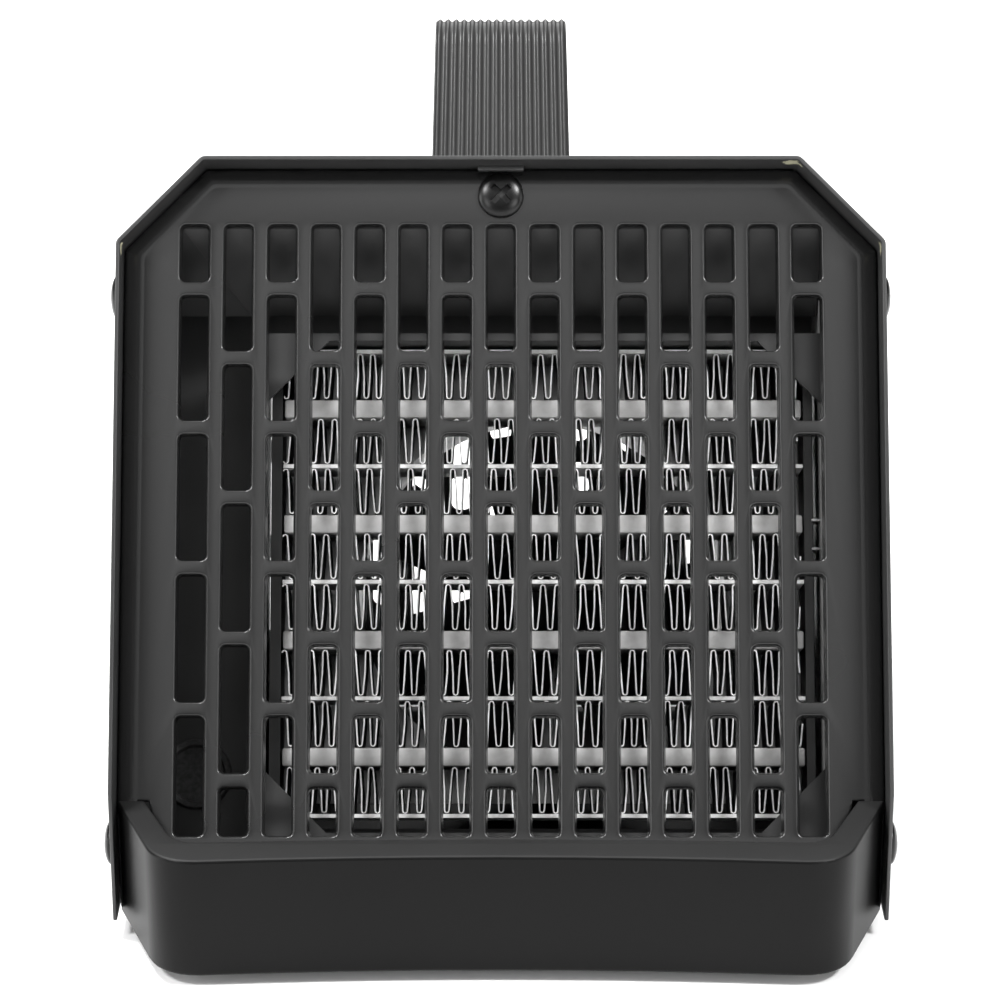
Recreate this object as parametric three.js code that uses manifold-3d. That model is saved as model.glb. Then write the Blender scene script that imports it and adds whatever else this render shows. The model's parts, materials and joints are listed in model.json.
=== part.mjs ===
// Compact ceramic fan heater: a bent sheet sleeve that leans back, a slotted front grille, a stack
// of clamped heating bars and corrugated fins, and a fan behind it. Millimetres, +Z up, front at -Y.
// The origin is the middle of the bounding box at floor level.
import * as THREE from "three";
import { mergeVertices } from "three/addons/utils/BufferGeometryUtils.js";
import Module from "manifold-3d";

const wasm = await Module();
wasm.setup();

// Driving dimensions
const WIDTH = 185; // across the sleeve's side walls
const LEAN = THREE.MathUtils.degToRad(28.5); // front face from vertical
const KINK_Z = 38.1; // height where the side walls start to lean back
const SLEEVE_TOP = 153.4; // top wall, measured up the lean from the kink
const SLEEVE_DEPTH = 125; // square to the front face
const SHEET = 1.0;
const CHAMFER_X = 20.4;
const CHAMFER_V = 20.8;
const WALL_BOTTOM = 4.6; // bottom edge of the side walls above the floor
const GAP = 0.3; // clearance between touching pieces

const BASE_BOTTOM = 3.2;
const FLOOR_TOP = 6;
const LEDGE_Z = 33;
const BASE_HALF = 91.2;
const BASE_REAR = 121;
const CHIN_SIDE_Y = 6.1; // the chin's cheeks start here and slope in to its two front corners
const CHIN = { rear: BASE_HALF, corner: 79.3, cornerY: -25.1, middleY: -22.6, radius: 9 };
const TROUGH = { rear: 84.7, corner: 75.7, cornerY: -14.8, middleY: -13.1, radius: 5 };
const BASE_FLANGE = { thick: 2, back: 112, high: 30 };
const FEET = { x: 70, front: -8, rear: 110, radius: 9 };
const TIP = { x: 60, y: 98, radius: 2.6 }; // plunger of the tip-over switch, through the base

const GRILLE_FRONT = 8.2; // depth of the grille's face behind the sleeve's front edge
const GRILLE_THICK = 2.2;
const SLOT_COLUMNS = 15;
const SLOT_PITCH = 10.6;
const SLOT_WIDTH = 7.0;
const SLOT_LENGTH = 30.2;
const SLOT_PERIOD = 34;
const FIRST_BOTTOMS = [124.6, 107.6]; // lowest point of the top slot in even and odd columns
const SLOT_TOP = 138.3;
const SLOT_BOTTOM = -9.5;
const SLOT_CORNER = 1.2;
const FLANGE_THICK = 2; // folded edges of the grille and the rear cover, along the side walls
const GRILLE_FLANGE = { back: 17, low: 40, high: 131 };
const REAR_FLANGE = { front: 109, low: 70, high: 130 };
const GRILLE_STEP_V = -1.2; // below this the panel is narrower and runs down inside the chin
const GRILLE_STEP_HALF = 84.0;
const GRILLE_FOOT_HALF = 78.2;
const GRILLE_FOOT_V = -29.6;

const CORE_LEFT = -53.5;
const CORE_RIGHT = 74.3;
const CORE_BOTTOM = -4.0;
const CORE_UNIT = 28.6;
const CORE_UNITS = 4;
const CORE_FRONT = 28;
const CORE_BACK = 44;
const PLATE_THICK = 0.9;
const BAR_HEIGHT = 4.6;
const FIN_PITCH = 7.1;
const FIN_SHEET = 0.45;

const HOLDER_FRONT = 20;
const HOLDER = { left: -59.6, right: 80.3, low: -10.2, high: 113.5, wall: 1.8, gusset: 17.5 };
const GUSSET_THICK = 1.6;
const DUCT_FRONT = 11.4; // front edge of the duct wall on the right of the core
const DUCT_HIGH = 126;
const DEFLECTOR = {
  left: -84, right: 78, front: 11.4, back: 28, high: 137.6, low: 119.2, thick: 1.2, lap: 0.4,
};
const BULKHEAD_FRONT = 46.4;
const BULKHEAD_THICK = 1.6;
const BULKHEAD_LOW = -9.6;
const BULKHEAD_STEP_V = 18; // the bulkhead clears the base's side flanges below this
const BULKHEAD_FOOT_HALF = 88.6;
const GROMMET = { x: -75.5, v: 7.1, radius: 8.8 };
const GLAND = { x: -66, v: 40 };

const FAN_X = 10.4;
const FAN_V = CORE_BOTTOM + (CORE_UNIT * CORE_UNITS) / 2;
const FAN_RADIUS = 44;
const FAN_BLADES = 7;
const SHAFT_RADIUS = 2.4;
const SHROUD_FRONT = 49;
const SHROUD_BACK = 70;
const SHROUD = { left: -56, right: 76.5, low: 0, high: 113, thick: 1.8 };
const FAN_FRONT = SHROUD_FRONT + 3;
const BRACKET_FRONT = SHROUD_BACK + GAP;
const MOTOR_FRONT = BRACKET_FRONT + 2.4;
const REAR_FRONT = 119;
const REAR_THICK = 2;
const REAR_STEP_V = 62; // the rear cover clears the base's side flanges below this
const REAR_FOOT_V = 30;
const VENT = { columns: 13, rows: 3, width: 5.6, length: 20, period: 26, low: 50, shift: 7 };

const HANDLE_HALF = 16.6;
const HANDLE_HEIGHT = 43.1;
const HANDLE_LEAN = 14.6; // how far each leg leans in over its height
const HANDLE_BEND = 9;
const HANDLE_FOOT = { length: 22, thick: 2.6 };
const HANDLE_FRONT = 12;
const HANDLE_REAR = 113;
const STRAP = 4;
const KNOB_RADIUS = 17;
const KNOB_HEIGHT = 12;
const KNOB_X = 52;
const KNOB_B = 80;
const SCREW_RADIUS = 5.6;
const SCREW_DOME = 2.4;
const SCREW_HOLE = 2.4;
const UPPER_SCREW = { b: 12.5, v: 121 };
const LOWER_SCREW = { y: 9, z: 21 };
const REAR_SCREW = { b: 114, v: 112 };
const HANDLE_SCREWS = [HANDLE_FRONT + 15, HANDLE_REAR - 15];
const FRONT_SCREW_V = 145.3;

// Materials
const finish = (color, roughness, metalness = 0) =>
  new THREE.MeshStandardMaterial({ color, roughness, metalness });
const SHEET_BLACK = finish(0x2b2c2e, 0.5, 0.3);
const BLACK_PLASTIC = finish(0x2a2b2d, 0.5);
const HANDLE_PLASTIC = finish(0x4a4b4d, 0.45);
const ALUMINIUM = finish(0xc9cac6, 0.35, 1);
const BAR_GREY = finish(0x9a9a94, 0.6, 0.4);
const STEEL_BLACK = finish(0x1c1c1d, 0.35, 0.6);
const GALVANISED = finish(0x8d9092, 0.45, 0.8);
const RUBBER = finish(0x161617, 0.9);

// Frames: "upright" is square to the floor, "tilted" has +Y into the heater and +Z up the lean.
const heater = new THREE.Group();
const upright = new THREE.Group();
const tilted = new THREE.Group();
tilted.position.z = KINK_Z;
tilted.rotation.x = -LEAN;
tilted.updateMatrix();
heater.add(upright, tilted);

const floorToTilt = tilted.matrix.clone().invert();

function add(group, name, geometry, material, x = 0, y = 0, z = 0) {
  const mesh = new THREE.Mesh(geometry, material);
  mesh.name = name;
  mesh.position.set(x, y, z);
  group.add(mesh);
  return mesh;
}

// Booleans
function solid(geometry) {
  const bare = geometry.clone();
  bare.deleteAttribute("normal");
  bare.deleteAttribute("uv");
  const merged = mergeVertices(bare, 1e-4);
  return new wasm.Manifold(
    new wasm.Mesh({
      numProp: 3,
      vertProperties: merged.attributes.position.array,
      triVerts: new Uint32Array(merged.index.array),
    }),
  );
}

function surface(body) {
  const mesh = body.getMesh();
  const geometry = new THREE.BufferGeometry();
  geometry.setAttribute("position", new THREE.BufferAttribute(mesh.vertProperties, 3));
  geometry.setIndex(new THREE.BufferAttribute(mesh.triVerts, 1));
  const flat = geometry.toNonIndexed();
  flat.computeVertexNormals();
  return flat;
}

const join = (...parts) => surface(parts.map(solid).reduce((a, b) => a.add(b)));

function cut(geometry, ...tools) {
  return surface(tools.map(solid).reduce((a, b) => a.subtract(b), solid(geometry)));
}

// Outlines and primitive solids
function outline(points) {
  return new THREE.Shape(points.map(([x, y]) => new THREE.Vector2(x, y)));
}

// A plate parallel to the front face: an outline in (x, up), from depth b0 to b1.
function plate(shape, b0, b1) {
  const geometry = new THREE.ExtrudeGeometry(shape, {
    depth: b1 - b0,
    bevelEnabled: false,
    curveSegments: 4,
  });
  return geometry.rotateX(Math.PI / 2).translate(0, b1, 0);
}

// A slab seen from the side: an outline in (depth, up), from x0 to x1.
function slab(shape, x0, x1) {
  const geometry = new THREE.ExtrudeGeometry(shape, {
    depth: x1 - x0,
    bevelEnabled: false,
    curveSegments: 5,
  });
  const turn = new THREE.Matrix4().set(0, 0, 1, 0, 1, 0, 0, 0, 0, 1, 0, 0, 0, 0, 0, 1);
  return geometry.applyMatrix4(turn).translate(x0, 0, 0);
}

// A plan outline raised from z0 to z1.
function raise(shape, z0, z1) {
  const geometry = new THREE.ExtrudeGeometry(shape, {
    depth: z1 - z0,
    bevelEnabled: false,
    curveSegments: 5,
  });
  return geometry.translate(0, 0, z0);
}

function block(x0, x1, y0, y1, z0, z1) {
  const geometry = new THREE.BoxGeometry(x1 - x0, y1 - y0, z1 - z0);
  return geometry.translate((x0 + x1) / 2, (y0 + y1) / 2, (z0 + z1) / 2);
}

// A body of revolution about Z from [radius, height] pairs.
function turned(profile, segments = 20) {
  const points = profile.map(([r, h]) => new THREE.Vector2(r, h));
  return new THREE.LatheGeometry(points, segments).rotateX(Math.PI / 2);
}

const disc = (r, z0, z1, segments = 20) =>
  turned([[0, z0], [r, z0], [r, z1], [0, z1]], segments);

const pipe = (r0, r1, z0, z1, segments = 32) =>
  turned([[r0, z0], [r1, z0], [r1, z1], [r0, z1], [r0, z0]], segments);

// Turns a solid made about Z so that its +Z points into the heater, placed at (x, b, v).
const facingIn = (geometry, x, b, v) => geometry.rotateX(-Math.PI / 2).translate(x, b, v);

// Sleeve: side walls, sloped corners and top wall, open at the bottom.
function archPoints(inset, bottom) {
  const half = WIDTH / 2 - inset;
  const top = SLEEVE_TOP - inset;
  const slip = inset * Math.tan(Math.PI / 8);
  const shoulder = SLEEVE_TOP - CHAMFER_V - slip;
  const crown = WIDTH / 2 - CHAMFER_X - slip;
  return [
    [half, bottom],
    [half, shoulder],
    [crown, top],
    [-crown, top],
    [-half, shoulder],
    [-half, bottom],
  ];
}

const sideHole = (radius, x, b, v) =>
  disc(radius, -5, 5, 12).rotateY(Math.PI / 2).translate(x, b, v);

const topHole = (radius, x, b) => disc(radius, -5, 5, 16).translate(x, b, SLEEVE_TOP);

function sleeve() {
  const low = -40;
  const arch = [...archPoints(0, low), ...archPoints(SHEET, low).reverse()];
  const floorBlock = block(-200, 200, -100, 300, -200, WALL_BOTTOM);
  const frontBlock = block(-200, 200, -100, 0, -100, 250);
  const tab = block(-9, 9, 12.2, 13.2, FRONT_SCREW_V - 6, SLEEVE_TOP - SHEET / 2);
  const lip = block(-5.6, 5.6, 6.2, GRILLE_FRONT - GAP, SLEEVE_TOP - 1.9, SLEEVE_TOP - SHEET / 2);
  const holes = [-1, 1].flatMap((side) => [
    sideHole(SCREW_HOLE, (side * WIDTH) / 2, UPPER_SCREW.b, UPPER_SCREW.v),
    sideHole(SCREW_HOLE, (side * WIDTH) / 2, REAR_SCREW.b, REAR_SCREW.v),
    disc(SCREW_HOLE, -5, 5, 12)
      .rotateY(Math.PI / 2)
      .translate((side * WIDTH) / 2, LOWER_SCREW.y, LOWER_SCREW.z)
      .applyMatrix4(floorToTilt),
    topHole(4, side * KNOB_X, KNOB_B),
  ]);
  return cut(
    join(plate(outline(arch), 0, SLEEVE_DEPTH), tab, lip),
    floorBlock.applyMatrix4(floorToTilt),
    frontBlock.applyMatrix4(floorToTilt),
    facingIn(disc(SCREW_HOLE, -3, 3, 12), 0, 12.7, FRONT_SCREW_V),
    ...HANDLE_SCREWS.map((b) => topHole(SCREW_HOLE, 0, b)),
    ...holes,
  );
}

// Two folded edges that lie against the sleeve's side walls and take its screws.
function sideFlanges(b0, b1, v0, v1) {
  const outer = WIDTH / 2 - SHEET - GAP;
  const inner = outer - FLANGE_THICK;
  return [block(inner, outer, b0, b1, v0, v1), block(-outer, -inner, b0, b1, v0, v1)];
}

// Slots run from the top down, with every second column shifted by half a slot.
function slotSpans(column) {
  const first = FIRST_BOTTOMS[column % 2];
  const spans = [[first, SLOT_TOP]];
  let top = first - SLOT_PERIOD + SLOT_LENGTH;
  while (top > SLOT_BOTTOM + 2) {
    spans.push([Math.max(top - SLOT_LENGTH, SLOT_BOTTOM), top]);
    top -= SLOT_PERIOD;
  }
  return spans;
}

function softBox(x0, x1, y0, y1, c) {
  return outline([
    [x0 + c, y0],
    [x1 - c, y0],
    [x1, y0 + c],
    [x1, y1 - c],
    [x1 - c, y1],
    [x0 + c, y1],
    [x0, y1 - c],
    [x0, y0 + c],
  ]);
}

function frontGrille() {
  const inset = SHEET + GAP;
  const shape = outline([
    ...archPoints(inset, GRILLE_STEP_V),
    [-GRILLE_STEP_HALF, GRILLE_STEP_V],
    [-GRILLE_FOOT_HALF, GRILLE_FOOT_V],
    [GRILLE_FOOT_HALF, GRILLE_FOOT_V],
    [GRILLE_STEP_HALF, GRILLE_STEP_V],
  ]);
  for (let column = 0; column < SLOT_COLUMNS; column += 1) {
    const x = (column - (SLOT_COLUMNS - 1) / 2) * SLOT_PITCH;
    for (const [low, high] of slotSpans(column)) {
      shape.holes.push(softBox(x - SLOT_WIDTH / 2, x + SLOT_WIDTH / 2, low, high, SLOT_CORNER));
    }
  }
  const back = GRILLE_FRONT + GRILLE_THICK;
  const flanges = sideFlanges(back - 0.5, GRILLE_FLANGE.back, GRILLE_FLANGE.low, GRILLE_FLANGE.high);
  return cut(
    join(plate(shape, GRILLE_FRONT, back), ...flanges),
    facingIn(disc(SCREW_HOLE, -4, 4, 12), 0, back - 1, FRONT_SCREW_V),
    sideHole(SCREW_HOLE, WIDTH / 2 - 2, UPPER_SCREW.b, UPPER_SCREW.v),
    sideHole(SCREW_HOLE, 2 - WIDTH / 2, UPPER_SCREW.b, UPPER_SCREW.v),
  );
}

// Base: floor plate, hollow-fronted chin with a flat ledge, and side flanges for the lower screws.
function chinFront(shape, { rear, corner, cornerY, middleY, radius }) {
  const slope = new THREE.Vector2(rear - corner, CHIN_SIDE_Y - cornerY).normalize();
  const side = corner + slope.x * radius;
  const sideY = cornerY + slope.y * radius;
  shape.moveTo(-rear, CHIN_SIDE_Y);
  shape.lineTo(-side, sideY);
  shape.quadraticCurveTo(-corner, cornerY, -corner + radius, cornerY);
  shape.quadraticCurveTo(0, 2 * middleY - cornerY, corner - radius, cornerY);
  shape.quadraticCurveTo(corner, cornerY, side, sideY);
  shape.lineTo(rear, CHIN_SIDE_Y);
  return shape;
}

function baseTray() {
  const plan = chinFront(new THREE.Shape(), CHIN);
  plan.lineTo(BASE_HALF, BASE_REAR);
  plan.lineTo(-BASE_HALF, BASE_REAR);
  const chin = raise(chinFront(new THREE.Shape(), CHIN), BASE_BOTTOM, LEDGE_Z);
  const trough = new THREE.Shape(chinFront(new THREE.Path(), TROUGH).getPoints(5));
  const pocket = raise(trough, FLOOR_TOP, LEDGE_Z + 5);
  const pocketRear = block(-TROUGH.rear, TROUGH.rear, CHIN_SIDE_Y - 1, CHIN_SIDE_Y + 1,
    FLOOR_TOP, LEDGE_Z + 5);
  const flange = (x0, x1) => block(x0, x1, CHIN_SIDE_Y - 0.5, BASE_FLANGE.back, FLOOR_TOP - 1,
    BASE_FLANGE.high);
  const shell = surface(
    solid(chin).subtract(solid(pocket)).subtract(solid(pocketRear))
      .add(solid(raise(plan, BASE_BOTTOM, FLOOR_TOP)))
      .add(solid(flange(BASE_HALF - BASE_FLANGE.thick, BASE_HALF)))
      .add(solid(flange(-BASE_HALF, BASE_FLANGE.thick - BASE_HALF))),
  );
  const lower = (s) => disc(SCREW_HOLE, -6, 6, 12).rotateY(Math.PI / 2)
    .translate(s * BASE_HALF, LOWER_SCREW.y, LOWER_SCREW.z);
  const plungerHole = disc(TIP.radius + 0.6, -5, 5, 16).translate(TIP.x, TIP.y, BASE_BOTTOM);
  return cut(shell, lower(1), lower(-1), plungerHole);
}

// Core: clamped stack of heating bars, corrugated fins and thin plates.
function finStrip(low, high) {
  const legs = Math.floor((CORE_RIGHT - CORE_LEFT) / (FIN_PITCH / 2));
  const step = (CORE_RIGHT - CORE_LEFT) / legs;
  const wall = FIN_SHEET * 1.1;
  const upper = [];
  const lower = [];
  for (let i = 0; i <= legs; i += 1) {
    const x = CORE_LEFT + i * step;
    const up = i % 2 === 0;
    const v = up ? high : low;
    const push = wall * 1.9;
    upper.push([x, up ? v : v + push]);
    lower.push([x, up ? v - push : v]);
  }
  return plate(outline([...lower, ...upper.reverse()]), CORE_FRONT, CORE_BACK);
}

function addCore() {
  for (let unit = 0; unit < CORE_UNITS; unit += 1) {
    const low = CORE_BOTTOM + unit * CORE_UNIT + PLATE_THICK / 2;
    const high = low + CORE_UNIT - PLATE_THICK;
    const barLow = (low + high - BAR_HEIGHT) / 2;
    const barHigh = barLow + BAR_HEIGHT;
    const n = CORE_UNITS - unit;
    add(tilted, `ptc_bar_${n}`, block(CORE_LEFT, CORE_RIGHT, CORE_FRONT, CORE_BACK - 0.5,
      barLow, barHigh), BAR_GREY);
    add(tilted, `fin_strip_${2 * n}`, finStrip(low + 0.1, barLow - 0.1), ALUMINIUM);
    add(tilted, `fin_strip_${2 * n - 1}`, finStrip(barHigh + 0.1, high - 0.1), ALUMINIUM);
  }
  for (let i = 0; i <= CORE_UNITS; i += 1) {
    const v = CORE_BOTTOM + i * CORE_UNIT;
    add(tilted, `clamp_plate_${CORE_UNITS + 1 - i}`, block(CORE_LEFT, CORE_RIGHT, CORE_FRONT,
      CORE_BACK, v - PLATE_THICK / 2, v + PLATE_THICK / 2), ALUMINIUM);
  }
  const top = CORE_BOTTOM + CORE_UNITS * CORE_UNIT + PLATE_THICK / 2;
  const endBlock = (x0, x1) => block(x0, x1, CORE_FRONT + 1, CORE_BACK, CORE_BOTTOM, top);
  add(tilted, "core_end_left", endBlock(CORE_LEFT - 3, CORE_LEFT - GAP), BLACK_PLASTIC);
  add(tilted, "core_end_right", endBlock(CORE_RIGHT + GAP, CORE_RIGHT + 2.3), BLACK_PLASTIC);
}

// Holder: box around the core with a flat gusset over each front corner, and a taller duct wall
// that runs forward to the grille on the right.
function coreHolder() {
  const { left, right, low, high, wall, gusset } = HOLDER;
  const shape = softBox(left, right, low, high, 0.5);
  shape.holes.push(softBox(left + wall, right - wall, low + wall, high - wall, 0.4));
  const corners = outline([[left, low], [right, low], [right, high], [left, high]]);
  corners.holes.push(softBox(left + wall, right - wall, low + wall, high - wall, gusset - wall));
  return join(
    plate(shape, HOLDER_FRONT, BULKHEAD_FRONT - GAP),
    plate(corners, HOLDER_FRONT, HOLDER_FRONT + GUSSET_THICK),
    block(right - wall, right, DUCT_FRONT, BULKHEAD_FRONT - GAP, low + 1, DUCT_HIGH),
  );
}

// Sloped sheet above the core that turns the rising air out through the top slots. A second sheet
// is lapped over its front, with the left end cut off at an angle.
function airDeflector() {
  const { left, right, front, back, high, low, thick, lap } = DEFLECTOR;
  const section = (lift) => outline([
    [front - lift, high],
    [front - lift, high + thick],
    [back + 0.8, low + thick],
    [back - lift, low],
  ]);
  const corner = outline([[-60.5, 118], [-79, 139.5], [-95, 139.5], [-95, 118]]);
  const lapped = cut(slab(section(lap), left + 1, right - 1), plate(corner, front - 5, back + 5));
  return join(slab(section(0), left, right), lapped);
}

// Sheet across the whole sleeve that parts the hot front chamber from the fan and the controls.
function bulkhead() {
  const { left, right, low, high, wall } = HOLDER;
  const shape = outline([
    ...archPoints(SHEET + GAP, BULKHEAD_STEP_V),
    [-BULKHEAD_FOOT_HALF, BULKHEAD_STEP_V],
    [-BULKHEAD_FOOT_HALF, BULKHEAD_LOW],
    [BULKHEAD_FOOT_HALF, BULKHEAD_LOW],
    [BULKHEAD_FOOT_HALF, BULKHEAD_STEP_V],
  ]);
  shape.holes.push(softBox(left + wall, right - wall, low + wall + 2, high - wall, 0.4));
  const sheet = plate(shape, BULKHEAD_FRONT, BULKHEAD_FRONT + BULKHEAD_THICK);
  return cut(sheet, facingIn(disc(6.6, -3, 3, 20), GROMMET.x, BULKHEAD_FRONT, GROMMET.v));
}

function leadGrommet() {
  const r = GROMMET.radius;
  const profile = [[4.6, -1.6], [r, -1.6], [r, -GAP], [6.2, -GAP], [6.2, 4], [4.6, 4], [4.6, -1.6]];
  return facingIn(turned(profile, 24), GROMMET.x, BULKHEAD_FRONT, GROMMET.v);
}

// Fan unit behind the core
function fanShroud() {
  const { left, right, low, high, thick } = SHROUD;
  const shape = outline([[left, low], [right, low], [right, high], [left, high]]);
  const throat = new THREE.Path();
  throat.absarc(FAN_X, FAN_V, FAN_RADIUS + 2, 0, Math.PI * 2, true);
  shape.holes.push(throat);
  const sheet = new THREE.ExtrudeGeometry(shape, { depth: thick, bevelEnabled: false, curveSegments: 20 })
    .rotateX(Math.PI / 2)
    .translate(0, SHROUD_FRONT + thick, 0);
  const depth = SHROUD_BACK - SHROUD_FRONT;
  const ring = pipe(FAN_RADIUS + 2, FAN_RADIUS + 4, 0.2, depth, 40);
  return join(sheet, facingIn(ring, FAN_X, SHROUD_FRONT, FAN_V));
}

function fanRotor() {
  const blades = [];
  for (let i = 0; i < FAN_BLADES; i += 1) {
    const blade = new THREE.BoxGeometry(30.5, 19, 1.4)
      .rotateX(THREE.MathUtils.degToRad(32))
      .translate(27.5, 0, 8)
      .rotateZ((i * 2 * Math.PI) / FAN_BLADES);
    blades.push(blade);
  }
  const hub = turned([[0, 0], [11, 0], [14, 3], [14, 16], [0, 16]], 24);
  const shaft = disc(SHAFT_RADIUS, 15, 31, 12);
  return join(hub, shaft, ...blades);
}

function motorBracket() {
  const rim = pipe(FAN_RADIUS + 2, FAN_RADIUS + 4, 0, 2, 40);
  const hub = pipe(5, 15, 0, 2, 24);
  const arms = [0, 1, 2].map((i) =>
    block(-3.5, 3.5, 14, FAN_RADIUS + 3, 0, 2).rotateZ((i * 2 * Math.PI) / 3));
  return facingIn(join(rim, hub, ...arms), FAN_X, BRACKET_FRONT, FAN_V);
}

function fanMotor() {
  const profile = [[0, 12], [3.2, 12], [3.2, 0], [17, 0], [18, 1], [18, 30], [15, 34], [0, 34]];
  return facingIn(turned(profile, 24), FAN_X, MOTOR_FRONT, FAN_V);
}

function rearCover() {
  const foot = WIDTH / 2 - SHEET - GAP - BASE_FLANGE.thick - 0.6;
  const shape = outline([
    ...archPoints(SHEET + GAP, REAR_STEP_V),
    [-foot, REAR_STEP_V],
    [-foot, REAR_FOOT_V],
    [foot, REAR_FOOT_V],
    [foot, REAR_STEP_V],
  ]);
  const vents = [];
  for (let column = 0; column < VENT.columns; column += 1) {
    const x = (column - (VENT.columns - 1) / 2) * SLOT_PITCH;
    const shift = column % 2 === 0 ? 0 : VENT.shift;
    for (let row = 0; row < VENT.rows; row += 1) {
      const low = VENT.low + row * VENT.period + shift;
      vents.push(block(x - VENT.width / 2, x + VENT.width / 2, REAR_FRONT - 1, REAR_FRONT + 4,
        low, low + VENT.length));
    }
  }
  const flanges = sideFlanges(REAR_FLANGE.front, REAR_FRONT + 0.5, REAR_FLANGE.low, REAR_FLANGE.high);
  return cut(
    join(plate(shape, REAR_FRONT, REAR_FRONT + REAR_THICK), ...flanges),
    facingIn(disc(6.4, -6, 6, 20), GLAND.x, REAR_FRONT, GLAND.v),
    sideHole(SCREW_HOLE, WIDTH / 2 - 2, REAR_SCREW.b, REAR_SCREW.v),
    sideHole(SCREW_HOLE, 2 - WIDTH / 2, REAR_SCREW.b, REAR_SCREW.v),
    ...vents,
  );
}

function cableGland() {
  const back = REAR_THICK + GAP;
  const profile = [
    [3.6, -7], [6.1, -7], [6.1, back], [9, back], [9, back + 4], [6.4, back + 10], [3.6, back + 10],
    [3.6, -7],
  ];
  return facingIn(turned(profile, 20), GLAND.x, REAR_FRONT, GLAND.v);
}

// Carrying handle: one flat strap bent into an arch from front to back over the top wall.
function handlePath(inset) {
  const shape = new THREE.Shape();
  const radius = HANDLE_BEND - inset * 0.8;
  const top = HANDLE_HEIGHT - inset;
  const front = HANDLE_FRONT + inset;
  const rear = HANDLE_REAR - inset;
  const slope = HANDLE_LEAN / HANDLE_HEIGHT;
  const run = (h) => h * slope;
  shape.moveTo(front, 0);
  shape.lineTo(front + run(top - radius), top - radius);
  shape.quadraticCurveTo(front + run(top), top, front + run(top) + radius, top);
  shape.lineTo(rear - run(top) - radius, top);
  shape.quadraticCurveTo(rear - run(top), top, rear - run(top - radius), top - radius);
  shape.lineTo(rear, 0);
  return shape;
}

function carryHandle() {
  const outer = slab(handlePath(0), -HANDLE_HALF, HANDLE_HALF);
  const inner = slab(handlePath(STRAP), -HANDLE_HALF - 5, HANDLE_HALF + 5).translate(0, 0, -0.001);
  const foot = (b) => block(-HANDLE_HALF, HANDLE_HALF, b, b + HANDLE_FOOT.length, 0, HANDLE_FOOT.thick);
  const arch = surface(
    solid(outer).subtract(solid(inner))
      .add(solid(foot(HANDLE_FRONT + 1)))
      .add(solid(foot(HANDLE_REAR - HANDLE_FOOT.length - 1))),
  );
  return cut(arch, ...HANDLE_SCREWS.map((b) => disc(SCREW_HOLE, -3, 6, 12).translate(0, b, 0)));
}

// Controls on the top wall
function knob() {
  const r = KNOB_RADIUS;
  const body = turned([[0, 0.4], [r, 0.4], [r - 1, KNOB_HEIGHT], [0, KNOB_HEIGHT]], 36);
  const spindle = disc(2.8, -12, 1, 14);
  return join(body, spindle);
}

function controlBody(width, depth) {
  const box = block(-width / 2, width / 2, -depth / 2, depth / 2, -22, -SHEET - GAP);
  return cut(box, disc(3.3, -14, 2, 14));
}

// Pan-head screw about Z with its head on top, resting on z = 0.
function screw(radius, dome, length) {
  return turned([
    [0, -length], [1.9, -length], [1.9, 0.15], [radius, 0.15], [radius, dome * 0.35],
    [radius * 0.72, dome * 0.85], [0, dome],
  ], 20);
}

function addScrews() {
  const flipped = screw(SCREW_RADIUS, SCREW_DOME, 7).rotateX(Math.PI);
  const front = facingIn(flipped, 0, GRILLE_FRONT, FRONT_SCREW_V);
  add(tilted, "front_screw", front, STEEL_BLACK);
  for (const [side, s] of [["left", -1], ["right", 1]]) {
    const turn = (g) => g.rotateY((s * Math.PI) / 2);
    const x = (s * WIDTH) / 2;
    const make = () => turn(screw(SCREW_RADIUS, SCREW_DOME, 6));
    add(tilted, `side_screw_upper_${side}`, make(), STEEL_BLACK, x, UPPER_SCREW.b, UPPER_SCREW.v);
    add(upright, `side_screw_lower_${side}`, make(), STEEL_BLACK, x, LOWER_SCREW.y, LOWER_SCREW.z);
    add(tilted, `rear_screw_${side}`, make(), STEEL_BLACK, x, REAR_SCREW.b, REAR_SCREW.v);
  }
  HANDLE_SCREWS.forEach((b, i) => {
    const name = i === 0 ? "handle_screw_front" : "handle_screw_rear";
    add(tilted, name, screw(4.2, 2, 9), STEEL_BLACK, 0, b,
      SLEEVE_TOP + HANDLE_FOOT.thick + GAP);
  });
}

function addBasePieces() {
  const r = FEET.radius;
  const top = BASE_BOTTOM - 0.2;
  for (const [end, y] of [["front", FEET.front], ["rear", FEET.rear]]) {
    for (const [side, s] of [["left", -1], ["right", 1]]) {
      const foot = turned([[0, 0], [r - 1, 0], [r, 0.8], [r, top], [0, top]], 24);
      add(upright, `foot_${end}_${side}`, foot, RUBBER, s * FEET.x, y, 0);
    }
  }
  const housing = cut(block(-8, 8, -6, 6, FLOOR_TOP + GAP, 22), disc(3.4, 0, 16, 16));
  add(upright, "tip_switch_body", housing, BLACK_PLASTIC, TIP.x, TIP.y, 0);
  const plunger = turned([[0, 0.3], [1.8, 0.3], [TIP.radius, 1.2], [TIP.radius, 12], [0, 12]], 14);
  add(upright, "tip_switch_plunger", plunger, RUBBER, TIP.x, TIP.y, 0);
  add(upright, "terminal_block", block(-14, 14, -7, 7, FLOOR_TOP + GAP, 20), BAR_GREY, -55, 88, 0);
}

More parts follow.
